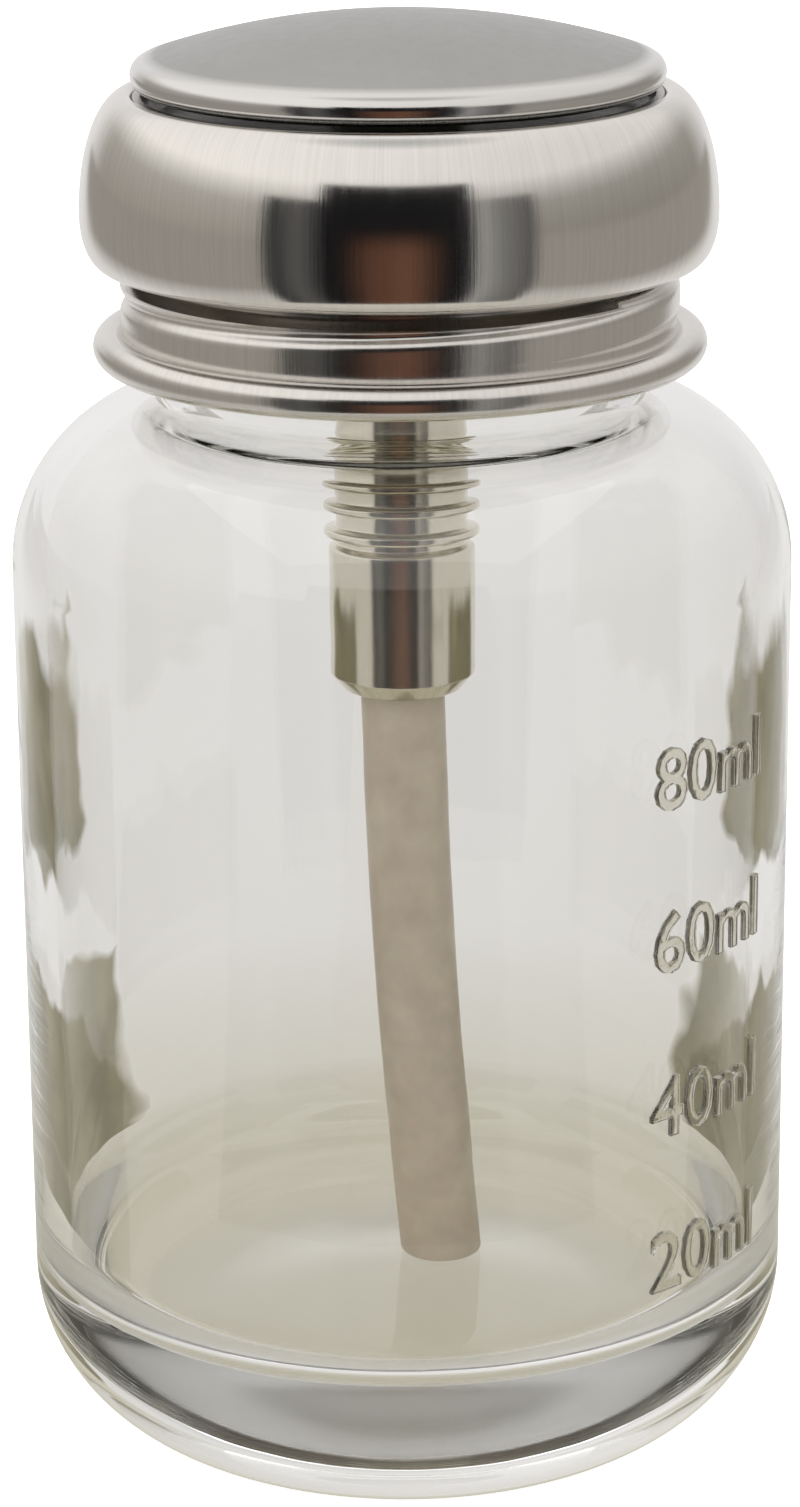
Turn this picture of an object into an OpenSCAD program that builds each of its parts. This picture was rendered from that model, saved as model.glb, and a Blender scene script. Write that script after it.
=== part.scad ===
// Press-top dispenser jar: glass jar, screw cap with a spring pump, press head with a flip lid.
// Millimetres, +Z up, origin on the jar's axis at the level it stands on, hinge of the lid at +Y.

/* [Jar] */
// Outer diameter of the glass body
jar_d = 54; // [45:1:70]
// Height where the shoulder meets the neck
shoulder_z = 75.4; // [60:0.2:110]
// How far inside the neck's outline the shoulder's round is centred; 0 makes the shoulder flat at the neck
shoulder_in = 2.1; // [0:0.1:3]
// Radius of the rounded heel
heel_r = 12; // [8:0.5:13]
// Thickness of the side wall
wall = 2.2; // [1.6:0.1:3]
// Height of the inside floor
floor_z = 11; // [6:0.5:16]
// Radius where the inside floor turns up into the wall
floor_r = 5.5; // [3:0.5:7]
// Depth of the hollow under the base
punt_h = 1.2; // [0.4:0.1:2.5]

/* [Neck and thread] */
// Diameter of the plain neck
neck_d = 33; // [27:0.5:40]
// Thickness of the neck's wall
neck_wall = 2.3; // [1.8:0.1:2.8]
// Height of the neck above the shoulder
neck_h = 9.8; // [8.4:0.2:13]
// Pitch of the thread
pitch = 3.2; // [2.6:0.1:3.9]
// Height of the glass thread above the neck wall
thread_h = 1; // [0.7:0.1:1.3]

/* [Cap] */
// Gap between the shoulder and the cap's bead
bead_gap = 2.2; // [0.8:0.1:3.2]
// Gap between the glass thread and the cap's wall
cap_gap = 0.3; // [0.2:0.05:0.6]
// Thickness of the cap's sheet
cap_t = 0.5; // [0.4:0.05:0.6]
// How far the ridged band stands out of the cap's upper wall
band_rise = 0.8; // [0.6:0.1:1.2]
// How far the rolled bead stands out of the band
bead_rise = 1.9; // [1.5:0.1:2.6]
// Diameter of the bead's roll
bead_roll = 2.4; // [2:0.1:2.9]
// Thickness of the liner
liner_t = 0.8; // [0.6:0.1:1.2]

/* [Press head] */
// Gap between the cap's band and the head's bottom edge
foot_gap = 0.6; // [0.4:0.1:1.6]
// How far the head's belly stands out of its bottom edge
head_bulge = 1.4; // [0.8:0.1:4]
// Width of the head's rounded top, from the belly in to the opening
crown_w = 3.75; // [2.8:0.05:6]
// Height of the belly above the head's bottom edge
belly_h = 3.2; // [2.4:0.1:4.4]
// Thickness of the head's sheet
head_t = 0.6; // [0.4:0.1:0.8]
// Depth of the dish below the opening
dish_depth = 1.9; // [1.6:0.1:2.6]
// Height of the collar under the dish; a taller collar makes a taller head
collar_h = 1.1; // [0.8:0.1:4]
// Travel of the head when it is pressed
stroke = 4.2; // [3:0.1:5.2]

/* [Lid] */
// How far the lid's rim reaches past the opening
lid_over = 0.1; // [-0.5:0.05:0.6]
// Rise of the dome from the rim to its top
dome_h = 2.7; // [2:0.1:5]
// Height of the lid's rolled rim
rim_h = 2.1; // [1.8:0.1:2.6]
// Thickness of the lid's sheet
lid_t = 0.6; // [0.4:0.1:0.8]
// Diameter of the hinge pin
pin_d = 1.2; // [1:0.1:1.4]

/* [Pump] */
// Thickness of the pump housing's wall
housing_wall = 1.4; // [1.2:0.1:2.4]
// Length of the housing below the cap's top plate
housing_len = 31.6; // [30:0.2:40]
// Diameter of the pump's cylinder
cylinder_d = 7.3; // [6.6:0.1:9]
// Outer diameter of the dip tube
tube_d = 5.9; // [5:0.1:6.4]
// Bore of the dip tube
tube_bore = 4.1; // [3:0.1:4.4]
// Lean of the dip tube to one side, in degrees
tube_lean = 2.6; // [0:0.1:4]
// Outer diameter of the stem
stem_d = 4; // [3.6:0.1:4.4]
// Diameter of the spring's wire
wire_d = 0.7; // [0.5:0.05:0.8]
// Turns of the return spring
spring_turns = 7; // [5:1:8]

/* [Hidden] */
$fn = 96;
ARC = 12;              // steps in a quarter round

// Clearances
run = 0.05;            // running fit, on the radius
seat = 0.02;           // pieces of one body that sit together
clear = 0.3;           // gap between pieces that move past each other

// The jar
jar_r = jar_d / 2;
neck_r = neck_d / 2;
bore_r = neck_r - neck_wall;
neck_fillet = 0.6;
mouth_round = 0.6;
shoulder_r = jar_r - neck_r - neck_fillet + shoulder_in;
shoulder_x = jar_r - shoulder_r;
shoulder_low_z = shoulder_z - sqrt(pow(shoulder_r, 2) - pow(shoulder_in, 2));
mouth_z = shoulder_z + neck_h;
thread_r = neck_r + thread_h;
glass_ridge = pitch * 0.5;     // width of the glass thread at its root
cap_ridge = pitch * 0.3125;    // width of the cap's thread at its root
ridge_top = 0.7;       // a ridge's width at its crest, as a share of its root
thread_end_z = mouth_z - glass_ridge / 2 - mouth_round;
thread_rise = 2;        // height of the thread's start above the cap's lower edge
thread_start_z = shoulder_z + bead_gap + thread_rise;
thread_turns = (thread_end_z - thread_start_z) / pitch;

// The cap
plate_z = mouth_z + liner_t;
cap_top_z = plate_z + cap_t;
roll_r = bead_roll / 2;
bead_z = shoulder_z + bead_gap + roll_r;
bead_top_z = bead_z + roll_r;
band_z = bead_top_z + 0.5;
band_top_z = mouth_z - 1.4;
cap_inner_r = thread_r + cap_gap;
cap_outer_r = cap_inner_r + cap_t;
band_r = cap_outer_r + band_rise;
bead_r = band_r + bead_rise - roll_r;
cap_thread_r = neck_r + 0.35;
thread_cover = 0.65;   // share of the glass thread that the cap's thread runs on
cap_turns = thread_turns * thread_cover;

// The pump, from the cap's plate down
cyl_r = cylinder_d / 2;
housing_r = cyl_r + housing_wall;
housing_neck_wall = 1.35;
housing_neck_r = cyl_r + housing_neck_wall;
hole_r = housing_neck_r + 0.2;     // hole in the cap's plate for the housing
flange_w = 2.55;
flange_r = housing_r + flange_w;
nut_r = flange_r;
nut_h = 1.2;
washer_t = 0.7;
flange_t = 0.7;
flange_top_z = plate_z - washer_t;
housing_top_z = cap_top_z + nut_h;
guide_top_z = housing_top_z + 0.2;
guide_len = 5.9;
guide_z = guide_top_z - guide_len;
housing_z = plate_z - housing_len;
socket_depth = 3;
socket_r = tube_d / 2 + 0.12;
orifice_r = 1.2;
seat_z = housing_z + socket_depth + 0.8;
cage_r = 2.5;
ball_r = 1.8;
ball_z = seat_z - orifice_r + (ball_r + seat) * sqrt(2);
ball_lift = 1.1;
spring_seat_z = ball_z + ball_r + ball_lift + 0.1;
spring_seat_h = 0.8;
piston_h = 3.5;
piston_floor = 1;      // thickness of the piston under the stem
groove_rise = 1.2;     // height of the seal's groove above the piston's foot
piston_top_z = guide_z - run;
piston_z = piston_top_z - piston_h;
seal_d = (cyl_r - stem_d / 2) * 0.6;
seal_groove = seal_d + 0.2;
stem_r = stem_d / 2;
stem_bore_r = 0.8;

// The head, from the bead up
dish_t = 0.6;
head_z = bead_top_z + stroke + 0.4;
belly_z = head_z + belly_h;
dish_z = guide_top_z + clear + stroke + collar_h + dish_t;
opening_z = dish_z + dish_depth;
foot_r = band_r + foot_gap + head_t;
head_r = foot_r + head_bulge;
opening_r = head_r - crown_w;
lip_r = opening_r + head_t;
dish_r = opening_r - seat;
stem_top_z = dish_z - 0.2;
collar_r = 3.6;
nozzle_r = 4.2;
nozzle_top_z = dish_z + 2.1;
outlet_r = 0.9;
outlet_z = stem_top_z + sqrt(pow(outlet_r + seat, 2) - pow(stem_bore_r, 2));
outlet_lift = 0.5;

// The lid
lid_r = opening_r + lid_over;
rim_r = rim_h / 2;
rim_z = opening_z + 0.15 + rim_r;
dome_r = lid_r - rim_r;
dome_z = rim_z + rim_r;
lid_top_z = dome_z + dome_h;
dome_sphere = (pow(dome_r, 2) + pow(dome_h, 2)) / (2 * dome_h);
pin_z = opening_z + 0.9;
pin_r = pin_d / 2;
knuckle_r = pin_r + 0.65;
pin_y = lid_r + knuckle_r + 2 * clear;
knuckle_w = 4;
ear_w = 2.4;
ear_gap = 0.25;
hinge_w = knuckle_w + 2 * (ear_w + ear_gap);
sill_h = 0.7;
notch_z = pin_z - knuckle_r - clear - sill_h - 0.2;

// Points along part of an ellipse
function arc(cx, cy, rx, ry, a0, a1, n = ARC) =
    [for (i = [0:n]) let (a = a0 + (a1 - a0) * i / n) [cx + rx * cos(a), cy + ry * sin(a)]];

// Solid through a list of rings that have the same number of points each
module skin(rings) {
    m = len(rings[0]);
    n = len(rings);
    points = [for (ring = rings) each ring];
    sides = [for (i = [0:n - 2], j = [0:m - 1]) let (k = (j + 1) % m)
        each [[i * m + j, i * m + k, (i + 1) * m + j], [i * m + k, (i + 1) * m + k, (i + 1) * m + j]]];
    bottom = [for (j = [m - 1:-1:0]) j];
    top = [for (j = [0:m - 1]) (n - 1) * m + j];
    polyhedron(points, concat(sides, [bottom, top]), convexity = 8);
}

// Ridge that winds up a cylinder, outwards or inwards; it fades into the wall at both ends
module ridge(root_r, crest_r, width, z0, turns, start, steps = 24) {
    n = ceil(turns * steps);
    root_w = sign(crest_r - root_r) * width / 2;
    crest_w = root_w * ridge_top;
    skin([for (i = [0:n])
        let (a = start + 360 * turns * i / n, z = z0 + pitch * turns * i / n,
            fade = min(1, 4 * i / n, 4 * (n - i) / n), c = root_r + (crest_r - root_r) * (0.1 + 0.9 * fade))
        [for (p = [[root_r, -root_w], [c, -crest_w], [c, crest_w], [root_r, root_w]])
            [p[0] * cos(a), p[0] * sin(a), z + p[1]]]]);
}

// Round plate
module disc(r, z0, z1) {
    translate([0, 0, z0]) cylinder(h = z1 - z0, r = r);
}

// Ring with a rectangular section
module ring(outer, inner, z0, z1) {
    difference() {
        disc(outer, z0, z1);
        translate([0, 0, z0 - 1]) cylinder(h = z1 - z0 + 2, r = inner);
    }
}

// Round bar along X
module bar_x(y, z, r, width) {
    translate([-width / 2, y, z]) rotate([0, 90, 0]) cylinder(h = width, r = r);
}

module jar_profile() {
    inner_r = jar_r - wall;
    bore_fillet = 1.2;
    inner_shoulder_r = shoulder_r - wall;
    inner_a = acos((bore_r + bore_fillet - shoulder_x) / inner_shoulder_r);
    inner_top_z = shoulder_low_z + inner_shoulder_r * sin(inner_a);
    polygon(concat(
        [[0, punt_h]],
        arc(0, 0, jar_r - heel_r - 1, punt_h, 60, 0, 4),
        arc(jar_r - heel_r, heel_r, heel_r, heel_r, -90, 0),
        arc(shoulder_x, shoulder_low_z, shoulder_r, shoulder_r, 0, acos(shoulder_in / shoulder_r)),
        arc(neck_r + neck_fillet, shoulder_z + neck_fillet, neck_fillet, neck_fillet, 270, 180, 4),
        arc(neck_r - mouth_round, mouth_z - mouth_round, mouth_round, mouth_round, 0, 90, 4),
        arc(bore_r + mouth_round, mouth_z - mouth_round, mouth_round, mouth_round, 90, 180, 4),
        arc(bore_r + bore_fillet, inner_top_z + bore_fillet, bore_fillet, bore_fillet, 180, 270, 4),
        arc(shoulder_x, shoulder_low_z, inner_shoulder_r, inner_shoulder_r, inner_a, 0),
        arc(inner_r - floor_r, floor_z + floor_r, floor_r, floor_r, 0, -90),
        [[0, floor_z]]));
}

module glass_jar() {
    color([0.86, 0.86, 0.84, 0.35]) union() {
        rotate_extrude() jar_profile();
        ridge(neck_r - 0.4, thread_r, glass_ridge, thread_start_z, thread_turns, 0);
    }
}

module cap_liner() {
    color([0.9, 0.9, 0.88]) ring(cap_inner_r - 0.2, bore_r - 1.6, mouth_z, plate_z - seat);
}

module cap_profile() {
    polygon(concat(
        [[hole_r, plate_z], [hole_r, cap_top_z]],
        arc(cap_outer_r - 1, cap_top_z - 1, 1, 1, 90, 0, 5),
        [[cap_outer_r, band_top_z + band_rise]],
        arc(band_r - 0.5, band_top_z - 0.5, 0.5, 0.5, 80, 0, 3),
        [[band_r, band_z]],
        arc(bead_r, bead_z, roll_r, roll_r, 80, -160),
        [[cap_inner_r, bead_z - roll_r / 2], [cap_inner_r, plate_z]]));
}

module screw_cap() {
    ridge_z = thread_end_z - pitch / 2 - pitch * cap_turns;
    ridge_a = 360 * (thread_turns - cap_turns);
    groove_depth = band_rise / 2;
    groove_z = band_z + cap_ridge / 2 + 0.2;
    groove_turns = (band_top_z - groove_z - cap_ridge / 2 - 0.2) / pitch;
    groove_a = ridge_a + 360 * (groove_z - ridge_z) / pitch;
    color([0.74, 0.73, 0.71]) difference() {
        union() {
            rotate_extrude() cap_profile();
            ridge(cap_inner_r + 0.15, cap_thread_r, cap_ridge, ridge_z, cap_turns, ridge_a);
        }
        ridge(band_r + groove_depth, band_r - groove_depth, cap_ridge, groove_z, groove_turns, groove_a);
    }
}

module housing_washer() {
    color([0.25, 0.25, 0.26]) ring(flange_r, housing_neck_r + seat, flange_top_z + seat, plate_z - seat);
}

module pump_housing() {
    chamfer = 1.1;
    rib_r = housing_r + 0.3;
    waist_r = housing_r - 0.55;
    waist_z = housing_z + 10.4;
    rib_h = 0.9;
    rib_step = 2.2;
    rib_z = [for (i = [0:2]) waist_z + 0.8 + rib_step * i];
    color([0.83, 0.8, 0.68]) difference() {
        union() {
            translate([0, 0, housing_z]) cylinder(h = chamfer, r1 = housing_r - 0.9, r2 = housing_r);
            disc(housing_r, housing_z + chamfer, waist_z);
            disc(waist_r, waist_z, flange_top_z - flange_t);
            for (z = rib_z) disc(rib_r, z, z + rib_h);
            disc(flange_r, flange_top_z - flange_t, flange_top_z);
            disc(housing_neck_r, flange_top_z, housing_top_z);
        }
        translate([0, 0, housing_z - 1]) cylinder(h = 1 + socket_depth, r = socket_r);
        translate([0, 0, housing_z + 1]) cylinder(h = seat_z - housing_z, r = orifice_r);
        translate([0, 0, seat_z]) cylinder(h = cage_r - orifice_r, r1 = orifice_r, r2 = cage_r);
        translate([0, 0, seat_z + cage_r - orifice_r]) cylinder(h = 20, r = cage_r);
        translate([0, 0, spring_seat_z]) cylinder(h = housing_top_z, r = cyl_r);
    }
}

module housing_nut() {
    color([0.9, 0.89, 0.84]) difference() {
        translate([0, 0, cap_top_z + seat]) cylinder(h = nut_h - seat, r = nut_r, $fn = 6);
        translate([0, 0, cap_top_z - 1]) cylinder(h = nut_h + 2, r = housing_neck_r + seat);
    }
}

module stem_guide() {
    color([0.93, 0.93, 0.9]) union() {
        ring(cyl_r - seat, stem_r + run, guide_z, guide_top_z);
        ring(housing_neck_r, stem_r + run, housing_top_z + seat, guide_top_z);
    }
}

module dip_tube() {
    pivot_z = housing_z + socket_depth / 2;
    end_z = floor_z + 0.35;
    color([0.78, 0.74, 0.67, 0.8]) difference() {
        translate([0, 0, pivot_z]) rotate([0, -tube_lean, 0])
            ring(tube_d / 2, tube_bore / 2, end_z - pivot_z - tube_d, socket_depth / 2 - 0.2);
        translate([-jar_r, -jar_r, end_z - jar_d]) cube(jar_d);
    }
}

module inlet_ball() {
    color([0.8, 0.8, 0.82]) translate([0, 0, ball_z]) sphere(r = ball_r);
}

module spring_seat() {
    color([0.93, 0.93, 0.9]) ring(cyl_r - seat, ball_r - 0.5, spring_seat_z + seat, spring_seat_z + spring_seat_h);
}

module return_spring() {
    coil_r = cyl_r - 0.35 - wire_d;
    w = wire_d / 2;
    z0 = spring_seat_z + spring_seat_h + w + seat;
    z1 = piston_z - w - seat;
    steps = 16;
    n = spring_turns * steps;
    color([0.75, 0.75, 0.77]) skin([for (i = [0:n]) let (a = 360 * i / steps, z = z0 + (z1 - z0) * i / n)
        [for (j = [0:5]) let (b = -60 * j, r = coil_r + w * cos(b)) [r * cos(a), r * sin(a), z + w * sin(b)]]]);
}

module piston() {
    groove_z = piston_z + groove_rise;
    color([0.9, 0.9, 0.88]) difference() {
        ring(cyl_r - run, stem_bore_r, piston_z, piston_top_z);
        translate([0, 0, piston_z + piston_floor]) cylinder(h = piston_h, r = stem_r + seat);
        ring(cyl_r + 1, cyl_r - run - seal_d + 0.05, groove_z, groove_z + seal_groove);
    }
}

module piston_seal() {
    color([0.12, 0.12, 0.13]) translate([0, 0, piston_z + groove_rise + seal_groove / 2])
        rotate_extrude() translate([cyl_r - seat - seal_d / 2 + 0.005, 0]) circle(d = seal_d - 0.05);
}

module pump_stem() {
    color([0.8, 0.8, 0.8]) ring(stem_r, stem_bore_r, piston_z + piston_floor + seat, stem_top_z);
}

module stem_collar() {
    color([0.9, 0.89, 0.84]) ring(collar_r, stem_r + seat, dish_z - dish_t - collar_h, dish_z - dish_t - seat);
}

module outlet_ball() {
    color([0.8, 0.8, 0.82]) translate([0, 0, outlet_z]) sphere(r = outlet_r);
}

module outlet_nozzle() {
    roof_z = outlet_z + outlet_r + outlet_lift + 0.05;
    color([0.9, 0.89, 0.84]) difference() {
        union() {
            disc(nozzle_r, dish_z + seat, dish_z + 0.7);
            translate([0, 0, dish_z + 0.7]) cylinder(h = nozzle_top_z - dish_z - 0.7, r1 = 3, r2 = 2.2);
        }
        translate([0, 0, dish_z - 1]) cylinder(h = 1.2, r = stem_r + run);
        translate([0, 0, dish_z - 1]) cylinder(h = roof_z - dish_z + 1, r = outlet_r + 0.25);
        for (a = [0:90:270]) rotate([0, 0, a + 45]) translate([0, 0, roof_z - 0.45]) rotate([0, 90, 0])
            cylinder(h = 6, r = 0.3);
    }
}

module dish_plate() {
    corner = 1.2;
    color([0.78, 0.77, 0.75]) rotate_extrude() polygon(concat(
        [[stem_r + seat, dish_z - dish_t], [stem_r + seat, dish_z]],
        arc(dish_r - dish_t - corner, dish_z + corner, corner, corner, -90, 0, 6),
        [[dish_r - dish_t, opening_z - 0.2], [dish_r, opening_z - 0.2]],
        arc(dish_r - corner - dish_t, dish_z + corner, corner + dish_t, corner + dish_t, 0, -90, 6)));
}

module head_shell() {
    in_foot = foot_r - head_t;
    top_h = opening_z - belly_z;
    foot_h = belly_z - head_z;
    roll = 0.45;
    color([0.76, 0.75, 0.72]) difference() {
        rotate_extrude() polygon(concat(
            [[in_foot, head_z]],
            arc(foot_r, belly_z, head_r - foot_r, foot_h, -90, 0, 8),
            arc(opening_r + roll, belly_z, head_r - opening_r - roll, top_h, 0, 90),
            arc(opening_r + roll, opening_z - roll, roll, roll, 90, 180, 4),
            [[opening_r, dish_z - dish_t - 0.5], [lip_r, dish_z - dish_t - 0.5]],
            arc(opening_r + roll, belly_z, head_r - opening_r - roll - head_t, top_h - head_t * 1.4, 86, 0),
            arc(in_foot, belly_z, head_r - foot_r, foot_h - 0.5, 0, -90, 8)));
        translate([-hinge_w / 2 - clear, opening_r - 3, notch_z]) cube([hinge_w + 2 * clear, 8, 8]);
    }
}

module hinge_bracket() {
    ear_x = knuckle_w / 2 + ear_gap;
    post_y = pin_y - 0.8;
    sill_z = notch_z + 0.2;
    tab_w = 4;
    tab_z = dish_z - dish_t - 0.3;
    color([0.7, 0.69, 0.67]) difference() {
        union() {
            for (s = [-1, 1]) translate([s * (ear_x + ear_w / 2), 0, 0]) {
                bar_x(pin_y, pin_z, knuckle_r, ear_w);
                translate([-ear_w / 2, post_y, sill_z]) cube([ear_w, 1.6, pin_z - sill_z]);
            }
            translate([-hinge_w / 2, post_y, sill_z]) cube([hinge_w, 1.6, sill_h]);
            translate([-tab_w / 2, lip_r - 0.5, tab_z]) cube([tab_w, post_y + 0.9 - lip_r, sill_z + sill_h - tab_z]);
        }
        bar_x(pin_y, pin_z, pin_r + seat, hinge_w + 2);
        translate([0, 0, -1]) cylinder(h = opening_z + 0.2, r = lip_r + seat);
    }
}

module hinge_pin() {
    color([0.8, 0.8, 0.8]) bar_x(pin_y, pin_z, pin_r, hinge_w + 0.4);
}

module lid_shell() {
    sweep_a = asin(dome_r / dome_sphere);
    cz = lid_top_z - dome_sphere;
    in_r = dome_sphere - lid_t;
    color([0.72, 0.71, 0.7]) rotate_extrude() polygon(concat(
        arc(0, cz, dome_sphere, dome_sphere, 90, 90 - sweep_a),
        arc(dome_r, rim_z, rim_r, rim_r, 90, -90),
        [[dome_r - 0.9, rim_z - rim_r], [dome_r - 0.9, rim_z - rim_r + lid_t]],
        arc(dome_r, rim_z, rim_r - lid_t, rim_r - lid_t, -90, 90, 8),
        arc(0, cz, in_r, in_r, 90 - asin((dome_r - 0.5) / in_r), 90)));
}

module lid_hinge_leaf() {
    leaf_t = 0.5;
    color([0.7, 0.69, 0.67]) difference() {
        union() {
            bar_x(pin_y, pin_z, knuckle_r, knuckle_w);
            translate([-knuckle_w / 2, lid_r + 0.05, pin_z - leaf_t / 2])
                cube([knuckle_w, pin_y - lid_r, leaf_t]);
        }
        bar_x(pin_y, pin_z, pin_r + run, hinge_w);
    }
}

module lid_liner() {
    liner_r = dome_r - 3;
    t = 0.5;
    cz = lid_top_z - dome_sphere;
    out_s = dome_sphere - lid_t - seat;
    color([0.88, 0.87, 0.83]) rotate_extrude() polygon(concat(
        arc(0, cz, out_s, out_s, 90, 90 - asin(liner_r / out_s)),
        arc(0, cz, out_s - t, out_s - t, 90 - asin(liner_r / (out_s - t)), 90)));
}

glass_jar();
cap_liner();
screw_cap();
housing_washer();
pump_housing();
housing_nut();
stem_guide();
dip_tube();
inlet_ball();
spring_seat();
return_spring();
piston();
piston_seal();
pump_stem();
stem_collar();
outlet_ball();
outlet_nozzle();
dish_plate();
head_shell();
hinge_bracket();
hinge_pin();
lid_shell();
lid_hinge_leaf();
lid_liner();
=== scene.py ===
"""Builds the visible pieces of a press-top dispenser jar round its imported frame, and a studio for them."""

import math

import bmesh
import bpy
from bpy.props import FloatProperty, FloatVectorProperty, IntProperty, PointerProperty
from bpy.types import Operator, Panel, PropertyGroup
from mathutils import Matrix, Vector


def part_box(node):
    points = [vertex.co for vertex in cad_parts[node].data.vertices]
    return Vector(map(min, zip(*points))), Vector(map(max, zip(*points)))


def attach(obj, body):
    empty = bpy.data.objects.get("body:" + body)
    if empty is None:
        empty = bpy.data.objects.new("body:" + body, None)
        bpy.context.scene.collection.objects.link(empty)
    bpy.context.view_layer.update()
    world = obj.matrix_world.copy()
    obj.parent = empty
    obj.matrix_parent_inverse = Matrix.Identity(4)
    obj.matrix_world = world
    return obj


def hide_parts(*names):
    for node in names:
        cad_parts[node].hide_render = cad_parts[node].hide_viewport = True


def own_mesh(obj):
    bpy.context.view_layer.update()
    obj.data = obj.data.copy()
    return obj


bl_info = {
    "name": "Dispenser Jar",
    "version": (1, 0, 0),
    "blender": (4, 5, 0),
    "location": "3D View > Sidebar > Jar",
    "description": "Builds a glass dispenser jar with a press head and a flip lid",
    "category": "Add Mesh",
}

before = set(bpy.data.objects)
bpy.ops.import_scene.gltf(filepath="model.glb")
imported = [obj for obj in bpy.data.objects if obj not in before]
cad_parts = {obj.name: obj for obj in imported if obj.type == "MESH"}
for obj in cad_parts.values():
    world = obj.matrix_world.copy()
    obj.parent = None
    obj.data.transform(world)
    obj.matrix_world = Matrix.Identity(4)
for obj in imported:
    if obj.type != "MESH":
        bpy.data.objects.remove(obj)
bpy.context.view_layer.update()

MM = 0.001
TURN = 2 * math.pi
QUARTER = 14  # steps in a quarter round of an outline


def low(node):
    return Vector(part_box(node)[0])


def high(node):
    return Vector(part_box(node)[1])


def length(name, about, millimetres):
    """A length setting, given in millimetres and kept in metres."""
    return FloatProperty(name=name, description=about, default=millimetres * MM, unit="LENGTH", precision=5)


def amount(name, about, default):
    """A plain share from 0 to 1."""
    return FloatProperty(name=name, description=about, default=default, min=0.0, max=1.0, subtype="FACTOR")


def colour(name, about, rgb):
    """A colour setting, linear."""
    return FloatVectorProperty(name=name, description=about, default=rgb, size=3, min=0.0, max=1.0,
                               subtype="COLOR")


class ShapeSettings(PropertyGroup):
    """Sizes that the frame's boxes don't give."""

    steps: IntProperty(name="Steps", description="Faces round each piece", default=160, min=48, max=256)
    shoulder_z: length("Shoulder height", "Height where the glass shoulder meets the neck", 75.4)
    shoulder_in: length("Shoulder centre", "How far inside the neck the shoulder's round is centred", 2.1)
    heel_r: length("Heel round", "Radius of the rounded heel", 12.0)
    wall: length("Glass wall", "Thickness of the glass side wall", 2.2)
    floor_z: length("Floor height", "Height of the inside floor", 11.0)
    floor_r: length("Floor round", "Radius where the floor turns up into the wall", 5.5)
    punt: length("Punt", "Depth of the hollow under the base", 0.4)
    neck_r: length("Neck", "Radius of the plain glass neck", 16.5)
    bore_r: length("Neck bore", "Radius of the neck's bore", 14.2)
    pitch: length("Pitch", "Pitch of the thread", 3.2)
    sheet: length("Sheet", "Thickness of the cap's and head's sheet steel", 0.5)
    band_r: length("Band", "Radius of the cap's ridged band", 19.1)
    cap_r: length("Cap", "Radius of the cap above its band", 18.3)
    bead: length("Bead", "Radius of the roll at the cap's lower edge", 1.2)
    opening_r: length("Opening", "Radius of the opening in the head", 17.95)
    foot_r: length("Head foot", "Radius of the head's bottom edge", 20.3)
    digit: length("Digit size", "Type size of the raised graduations", 6.0)
    raised: length("Digit relief", "How far the graduations stand out of the glass", 0.22)


class FinishSettings(PropertyGroup):
    """Colours and roughness of the finishes."""

    glass: colour("Glass", "Tint of the glass", (0.968, 0.966, 0.962))
    steel: colour("Steel", "Colour of the polished steel", (0.74, 0.72, 0.69))
    satin: colour("Satin steel", "Colour of the satin lid", (0.40, 0.395, 0.388))
    pump: colour("Pump plating", "Colour of the plated pump housing", (0.70, 0.665, 0.56))
    tube: colour("Tube plastic", "Colour of the milky dip tube", (0.90, 0.78, 0.62))
    satin_rough: amount("Satin roughness", "Roughness of the satin lid", 0.34)
    polish_rough: amount("Polish roughness", "Roughness of the polished head", 0.09)


class StudioSettings(PropertyGroup):
    """Camera, floor and light."""

    camera_distance: length("Camera distance", "Level distance from the jar's axis to the camera", 291.5)
    camera_height: length("Camera height", "Height of the camera", 140.6)
    camera_pitch: FloatProperty(name="Pitch", description="How far the camera looks down",
                                default=math.radians(17.43), subtype="ANGLE")
    camera_roll: FloatProperty(name="Roll", description="Turn of the camera about its line of sight",
                               default=math.radians(0.45), subtype="ANGLE")
    shift: FloatProperty(name="Shift", description="Sideways shift of the lens", default=-0.0023, precision=4)
    lens: FloatProperty(name="Lens", description="Focal length", default=103.5, unit="CAMERA")
    key: FloatProperty(name="Key light", description="Power of the light overhead", default=4.0, unit="POWER")


# ---------------------------------------------------------------- outlines and meshes


def arc(cx, cz, rx, rz, start, end, steps=QUARTER):
    """Points along part of an ellipse, angles in degrees."""
    span = math.radians(end - start)
    first = math.radians(start)
    angles = [first + span * i / steps for i in range(steps + 1)]
    return [(cx + rx * math.cos(a), cz + rz * math.sin(a)) for a in angles]


def rounded(corners, steps=5):
    """An outline from (radius, height, fillet) corners, each fillet an arc."""
    points = []
    count = len(corners)
    for i, (x, z, fillet) in enumerate(corners):
        here = Vector((x, z))
        if fillet <= 0:
            points.append((x, z))
            continue
        before = (Vector(corners[i - 1][:2]) - here).normalized()
        after = (Vector(corners[(i + 1) % count][:2]) - here).normalized()
        half = before.angle(after) / 2
        reach = fillet / math.tan(half)
        centre = here + (before + after).normalized() * (fillet / math.sin(half))
        first = here + before * reach - centre
        turn = math.pi - 2 * half
        if before.x * after.y - before.y * after.x > 0:
            turn = -turn
        for k in range(steps + 1):
            spoke = first.copy()
            spoke.rotate(Matrix.Rotation(turn * k / steps, 2))
            points.append(tuple(centre + spoke))
    return points


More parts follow.
